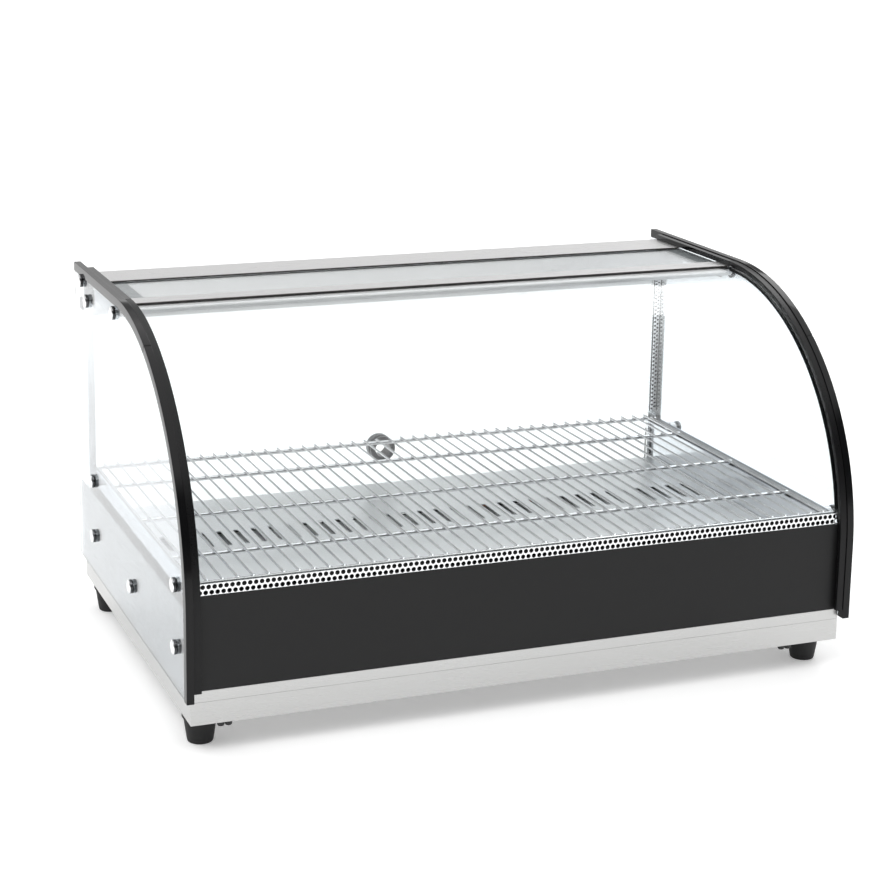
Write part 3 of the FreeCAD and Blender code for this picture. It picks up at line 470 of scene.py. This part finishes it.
# ---------------------------------------------------------------- perforated strip in front
def perforated(bm, u0, u1, v0, v1, pitch, hole, rows, place, thick, seg=12, margin=None):
    """A strip with staggered round holes. place(u, v, w) gives the point; w runs through the sheet."""
    step = pitch
    rise = (v1 - v0) / rows
    count = int((u1 - u0) // step)
    start = (u0 + u1) / 2 - count * step / 2
    cols = []
    grid = {}

    def vert(u, v, w):
        key = (round(u * 1e7), round(v * 1e7), w)
        if key not in grid:
            grid[key] = bm.verts.new(place(u, v, w * thick))
        return grid[key]

    for row in range(rows):
        b0, b1 = v0 + row * rise, v0 + (row + 1) * rise
        shift = 0 if row % 2 == 0 else step / 2
        n = count if row % 2 == 0 else count - 1
        edges_u = [start + shift + step * i for i in range(n + 1)]
        for i in range(n):
            a, b = edges_u[i], edges_u[i + 1]
            cu, cv = (a + b) / 2, (b0 + b1) / 2
            mu = (a + b) / 2
            # the cell's outline carries its neighbours' corners, so rows share their edges
            outline = [(a, b0), (mu, b0), (b, b0), (b, cv), (b, b1), (mu, b1), (a, b1), (a, cv)]
            for w in (0, 1):
                outer = [vert(p[0], p[1], w) for p in outline]
                inner = []
                for p in outline:
                    t = math.atan2((p[1] - cv), (p[0] - cu))
                    inner.append(t)
                ring = []
                for t in inner:
                    ring.append((cu + math.cos(t) * hole, cv + math.sin(t) * hole))
                mids = []
                rv = [vert(q[0], q[1], w) for q in ring]
                for k in range(8):
                    k2 = (k + 1) % 8
                    t0, t1 = inner[k], inner[k2]
                    if t1 - t0 > math.pi:
                        t1 -= 2 * math.pi
                    if t0 - t1 > math.pi:
                        t1 += 2 * math.pi
                    tm = (t0 + t1) / 2
                    mv = vert(cu + math.cos(tm) * hole, cv + math.sin(tm) * hole, w)
                    mids.append(mv)
                    f = (outer[k], outer[k2], rv[k2], mv, rv[k])
                    bm.faces.new(f if w else f[::-1])
                if w == 0:
                    low = (rv, mids)
                else:
                    for k in range(8):
                        k2 = (k + 1) % 8
                        bm.faces.new((low[0][k], low[1][k], mids[k], rv[k]))
                        bm.faces.new((low[1][k], low[0][k2], rv[k2], mids[k]))
        # plain ends of the row
        for a, b in ((u0, edges_u[0]), (edges_u[-1], u1)):
            if b - a > 1e-6:
                inner_end = b if a == u0 else a
                other = a if a == u0 else b
                for w in (0, 1):
                    ring = [vert(other, b0, w), vert(inner_end, b0, w), vert(inner_end, (b0 + b1) / 2, w), vert(inner_end, b1, w), vert(other, b1, w)]
                    bm.faces.new(ring)
    # the sheet's rim
    rim = [e for e in bm.edges if len(e.link_faces) == 1]
    back = {v: k for k, v in grid.items()}
    for e in rim:
        a, b = e.verts
        if a not in back or b not in back:
            continue
        ka, kb = back[a], back[b]
        if ka[2] == 0 and kb[2] == 0:
            a1, b1_ = grid.get((ka[0], ka[1], 1)), grid.get((kb[0], kb[1], 1))
            if a1 and b1_:
                bm.faces.new((a, b, b1_, a1))


bm = bmesh.new()
perforated(bm, -0.3185, 0.3185, 0.1473, 0.1573, 0.0053, 0.00212, 2, lambda u, v, w: Vector((u, -0.2058 + w, v)), 0.0008)
block(bm, (-0.319, -0.2060, 0.1571), (0.319, -0.1990, 0.1579), 0.0003)
put("front_vent_perforated", bm, "perforated_steel", "case", ("front_vent_strip",), 30)
# painted shade: a black sheet behind the vent's holes, so they read dark
bm = bmesh.new()
block(bm, (-0.3165, -0.2012, 0.1483), (0.3165, -0.2000, 0.1568), 0.0003)
put("front_vent_painted_shade", bm, "black_gasket", "case")

# ---------------------------------------------------------------- fine perforated edging in the right rear post
bm = bmesh.new()
perforated(bm, 0.160, 0.3265, 0.0, 0.0062, 0.0046, 0.00128, 2, lambda u, v, w: Vector((0.3145 + v, 0.1846 - w, u)), 0.0005)
put("post_edging_right", bm, "perforated_steel", "case", (), 30)
# painted shade: a black sheet behind the edging's holes, so they show dark on the bright post
bm = bmesh.new()
block(bm, (0.3142, 0.1849, 0.160), (0.3210, 0.1855, 0.3265), 0.0001)
put("post_edging_painted_shade", bm, "black_gasket", "case")

# a reflector sheet lies a little below the deck's slots
bm = bmesh.new()
block(bm, (-0.304, 0.016, 0.1028), (0.304, 0.078, 0.1036), 0.0002)
put("deck_reflector", bm, "deck_steel", "case")

# ---------------------------------------------------------------- cap nuts
nut_at = ((180.0, 349.0), (155.5, 333.0), (39.5, 345.2), (144.0, 150.6), (144.0, 93.0), (-14.5, 93.0), (-176.5, 149.6), (-176.5, 92.5))
collar = [(6.1, 0.02), (6.5, 0.02), (6.6, 0.15), (6.6, 1.95), (6.5, 2.08), (6.1, 2.08), (6.1, 0.02)]
dome = [(0.0, 3.6), (2.2, 3.56), (4.0, 3.42), (5.3, 3.16), (6.0, 2.86), (6.4, 2.55), (6.55, 2.25), (6.5, 2.12), (6.05, 2.1), (6.05, 0.02), (5.9, 0.0), (3.0, 0.0), (0.0, 0.0)]
bm = bmesh.new()
for side in (-1, 1):
    for y, z in nut_at:
        lathe(bm, [(r * mm, h * mm) for r, h in dome], (side * 0.330, y * mm, z * mm), (side, 0, 0), 40)
put("cap_nuts_domed", bm, "chrome", "case", ("cap_nuts",), 40)
# collars: painted shade, the nuts' sides in a darkened copy of the chrome
bm = bmesh.new()
for side in (-1, 1):
    for y, z in nut_at:
        lathe(bm, [(r * mm, h * mm) for r, h in collar], (side * 0.330, y * mm, z * mm), (side, 0, 0), 40)
put("cap_nut_collars", bm, "chrome_painted_shade", "case", (), 40)
bm = bmesh.new()
ring = [(2.6, 0.02), (6.4, 0.02), (6.6, 0.2), (6.6, 0.85), (6.5, 0.98), (2.6, 0.98), (2.6, 0.02)]
for side in (-1, 1):
    for y, z in nut_at:
        lathe(bm, [(r * mm, h * mm) for r, h in ring], (side * 0.329, y * mm, z * mm), (side, 0, 0), 32)
put("nut_washers_ring", bm, "black_gasket", "case", ("nut_washers",), 40)

# ---------------------------------------------------------------- feet
foot = [
    (0.0, 6.0), (5.4, 6.0), (5.6, 1.2), (6.4, 0.3), (7.6, 0.0), (10.0, 0.0), (11.2, 0.35), (11.75, 1.3),
    (12.3, 4.0), (14.6, 20.0), (15.0, 22.4), (15.2, 22.7), (16.1, 23.0), (16.4, 23.6), (16.4, 27.2), (16.0, 27.9), (15.0, 28.0), (0.0, 28.0),
]
bm = bmesh.new()
lo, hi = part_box("feet")
fx, fr = hi.x, 0.0164
for x in (lo.x + fr, hi.x - fr):
    for y in (lo.y + fr, hi.y - fr):
        lathe(bm, [(r * mm, h * mm) for r, h in foot], (x, y, 0), (0, 0, 1), 48)
put("feet_moulded", bm, "foot_rubber", "case", ("feet",), 40)

# painted shadow: a dark strip under the sill's overhang, where the sill sits on the apron
bm = bmesh.new()
sill_lo, sill_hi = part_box("front_sill")
block(bm, (sill_lo.x, -0.2042, 0.0493), (sill_hi.x, -0.2034, 0.05015), 0.0002)
put("sill_painted_shadow", bm, "seal_grey", "case")

# small rivet heads under the front apron, near the feet
bm = bmesh.new()
for x in (-295.5, -288.5, 265.5, 272.5):
    lathe(bm, [(0.0, -5.0 * mm), (1.8 * mm, -4.9 * mm), (2.9 * mm, -4.3 * mm), (3.3 * mm, -3.2 * mm), (3.3 * mm, -0.4 * mm), (3.3 * mm, 0.05 * mm), (0.0, 0.05 * mm)], (x * mm, -0.1985, 0.028), (0, 0, 1), 24)
put("apron_fasteners", bm, "black_plastic", "case", (), 40)

# ---------------------------------------------------------------- door pull: a thick round bezel, clamped through the glass
pull = [
    (8.6, -4.1), (8.9, -4.6), (9.8, -5.1), (11.6, -5.3), (13.0, -4.9), (13.8, -3.9), (14.0, -2.6), (14.0, -0.6), (13.6, -0.15), (12.6, -0.02), (9.3, -0.02),
    (9.3, 5.02), (12.6, 5.02), (13.6, 5.15), (14.0, 5.6), (14.0, 13.2), (13.7, 14.6), (12.8, 15.6), (11.4, 16.0), (10.0, 15.8), (9.0, 15.1), (8.6, 14.2), (8.6, -4.1),
]
lo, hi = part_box("door_pull")
y0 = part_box("door_glass")[0].y
cx, cz = (lo.x + hi.x) / 2, (lo.z + hi.z) / 2
grow = (hi.y - y0 - 0.0001) / 0.0161
bm = bmesh.new()
pts = []
for r, h in pull:
    hh = h * mm
    if h < -0.02:
        hh = max(hh, lo.y - y0)
    if h > 5.02:
        hh = 0.005 + (h - 5.0) * mm * (hi.y - y0 - 0.005) / 0.011
    pts.append((min(r * mm, (hi.x - lo.x) / 2), hh))
lathe(bm, pts, (cx, y0, cz), (0, 1, 0), 56)
put("door_pull_bezel", bm, "grey_plastic", "door", ("door_pull",), 40)

# ---------------------------------------------------------------- thermostat knob
lo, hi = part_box("thermostat_knob")
kc = ((lo.x + hi.x) / 2, lo.y, (lo.z + hi.z) / 2)
kr, kh = (hi.x - lo.x) / 2, hi.y - lo.y
knob = [
    (2.6 * mm, 0.4 * mm), (kr - 0.8 * mm, 0.4 * mm), (kr - 0.2 * mm, 0.7 * mm), (kr, 1.3 * mm), (kr, 2.6 * mm), (kr - 0.5 * mm, 3.2 * mm), (kr - 3.4 * mm, 3.8 * mm),
    (kr - 3.9 * mm, 4.4 * mm, 1), (kr - 4.5 * mm, kh - 2.0 * mm, 1), (kr - 5.0 * mm, kh - 0.8 * mm, 1), (kr - 6.2 * mm, kh - 0.1 * mm), (kr - 7.4 * mm, kh), (kr - 9.0 * mm, kh - 0.7 * mm), (0.0, kh - 0.9 * mm),
]
bm = bmesh.new()
lathe(bm, [(2.6 * mm, kh * 0.6), *knob][1:], kc, (0, 1, 0), 120, 24, 0.0009)
rim = [e for e in bm.edges if len(e.link_faces) == 1]
if rim:
    bmesh.ops.holes_fill(bm, edges=rim, sides=0)
put("thermostat_knob_fluted", bm, "black_plastic", "knob", ("thermostat_knob",), 40)
bm = bmesh.new()
block(bm, (kc[0] - 0.55 * mm, kc[1] + kh - 0.75 * mm, kc[2] + 2.0 * mm), (kc[0] + 0.55 * mm, kc[1] + kh - 0.12 * mm, kc[2] + 9.4 * mm), 0.0002)
put("thermostat_knob_pointer", bm, "mark_white", "knob", ())
# dial marks on the panel behind the knob
bm = bmesh.new()
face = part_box("rear_panel")[1].y
for i in range(10):
    t = math.radians(90 - 270 * i / 9)
    big = i in (0, 3, 6, 9)
    ca, sa = math.cos(t), math.sin(t)
    # the marks follow the knob's own sense of turning, seen from behind
    made = bmesh.ops.create_cube(bm, size=1.0)["verts"]
    for v in made:
        u = 0.0186 + (0.5 + v.co.x) * (0.0030 if big else 0.0019)
        s = v.co.y * (0.0009 if big else 0.0006)
        v.co = Vector((kc[0] + ca * u - sa * s, face - 0.0001 + (v.co.z + 0.5) * 0.00022, kc[2] + sa * u + ca * s))
put("thermostat_dial_marks", bm, "black_trim", "case", (), 10)

# ---------------------------------------------------------------- cable gland
lo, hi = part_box("cable_gland")
gc = ((lo.x + hi.x) / 2, 0.0, (lo.z + hi.z) / 2)
gr = (hi.x - lo.x) / 2
pts = [
    (3.6 * mm, lo.y), (gr - 3.0 * mm, lo.y), (gr - 2.6 * mm, lo.y + 0.4 * mm), (gr - 2.6 * mm, face - 0.0013), (gr - 2.6 * mm, face), (gr, face), (gr, face + 3.4 * mm), (gr - 0.6 * mm, face + 4.0 * mm),
    (gr - 2.0 * mm, face + 4.2 * mm, 1), (gr - 2.2 * mm, face + 7.2 * mm, 1), (gr - 3.4 * mm, hi.y - 2.4 * mm, 1), (gr - 5.0 * mm, hi.y - 0.7 * mm), (gr - 6.2 * mm, hi.y), (3.9 * mm, hi.y), (3.6 * mm, hi.y - 0.3 * mm), (3.6 * mm, lo.y),
]
bm = bmesh.new()
lathe(bm, pts, gc, (0, 1, 0), 72, 12, 0.0006)
put("cable_gland_ribbed", bm, "black_plastic", "case", ("cable_gland",), 40)

# ---------------------------------------------------------------- floor, light, camera
bm = bmesh.new()
bmesh.ops.create_grid(bm, x_segments=8, y_segments=8, size=20.0)
me = bpy.data.meshes.new("studio_floor")
bm.to_mesh(me)
bm.free()
floor = bpy.data.objects.new("studio_floor", me)
scene.collection.objects.link(floor)
s = Shader("floor_paper", (0.93, 0.93, 0.93), 0.85)
s.b.inputs["Specular IOR Level"].default_value = 0.1
s.b.inputs["Emission Color"].default_value = (1, 1, 1, 1)
s.b.inputs["Emission Strength"].default_value = 0.26
s.tint(s.noise(60, 3), 0.995, 1.005)
s.bump(s.noise(900, 3), 2e-5, 0.2)
me.materials.append(s.m)

world = bpy.data.worlds.new("studio")
scene.world = world
world.use_nodes = True
wt = world.node_tree
wt.nodes.clear()
wo = wt.nodes.new("ShaderNodeOutputWorld")
bg = wt.nodes.new("ShaderNodeBackground")
wt.links.new(bg.outputs[0], wo.inputs[0])
tc = wt.nodes.new("ShaderNodeTexCoord")
sep = wt.nodes.new("ShaderNodeSeparateXYZ")
wt.links.new(tc.outputs["Generated"], sep.inputs[0])


def world_ramp(src, stops):
    r = wt.nodes.new("ShaderNodeValToRGB")
    r.color_ramp.interpolation = "EASE"
    while len(r.color_ramp.elements) < len(stops):
        r.color_ramp.elements.new(0.5)
    for e, (p, v) in zip(r.color_ramp.elements, stops):
        e.position = p
        e.color = (v, v, v, 1)
    wt.links.new(src, r.inputs[0])
    return r.outputs[0]


back = world_ramp(sep.outputs[2], ((0.0, 0.85), (0.10, 0.60), (0.19, 0.47), (0.26, 0.78), (0.314, 0.78), (0.326, 0.24), (0.44, 0.24), (0.58, 0.5), (0.74, 1.0), (1.0, 1.0)))
front = world_ramp(sep.outputs[2], ((0.0, 0.55), (0.08, 0.16), (0.30, 0.05), (0.54, 0.08), (0.74, 1.0), (1.0, 1.1)))
turn = wt.nodes.new("ShaderNodeMapRange")
turn.interpolation_type = "SMOOTHSTEP"
turn.inputs["From Min"].default_value = -0.2
turn.inputs["From Max"].default_value = 0.75
wt.links.new(sep.outputs[1], turn.inputs["Value"])
blend_rgb = wt.nodes.new("ShaderNodeMix")
blend_rgb.data_type = "RGBA"
wt.links.new(turn.outputs[0], blend_rgb.inputs[0])
wt.links.new(front, blend_rgb.inputs[6])
wt.links.new(back, blend_rgb.inputs[7])
wt.links.new(blend_rgb.outputs[2], bg.inputs[0])
bg.inputs[1].default_value = 1.42


def lamp(name, at, to, size, power, shape="RECTANGLE", size_y=None):
    d = bpy.data.lights.new(name, "AREA")
    d.shape = shape
    d.size = size
    if size_y:
        d.size_y = size_y
    d.energy = power
    o = bpy.data.objects.new(name, d)
    scene.collection.objects.link(o)
    o.location = at
    o.rotation_euler = (Vector(to) - Vector(at)).to_track_quat("-Z", "Y").to_euler()
    return o


lamp("key", (-1.6, -1.2, 2.6), (0, 0, 0.1), 1.6, 22, size_y=1.2)
lamp("rim", (1.8, 1.6, 2.4), (0, 0, 0.15), 1.6, 14, size_y=1.2)

cam_data = bpy.data.cameras.new("camera")
cam = bpy.data.objects.new("camera", cam_data)
scene.collection.objects.link(cam)
cam_data.sensor_width = 36.0
cam_data.lens = 84.65938
cam_data.shift_x = 0.053273
cam_data.shift_y = -0.133106
cam_data.clip_end = 200.0
cam.matrix_world = Matrix((
    (0.9358358, 0.0668435, -0.3460395, -0.763316),
    (-0.3522301, 0.2109746, -0.9118244, -1.861688),
    (0.0120560, 0.9752034, 0.2209819, 0.771003),
    (0, 0, 0, 1),
))
scene.camera = cam

bpy.context.view_layer.update()
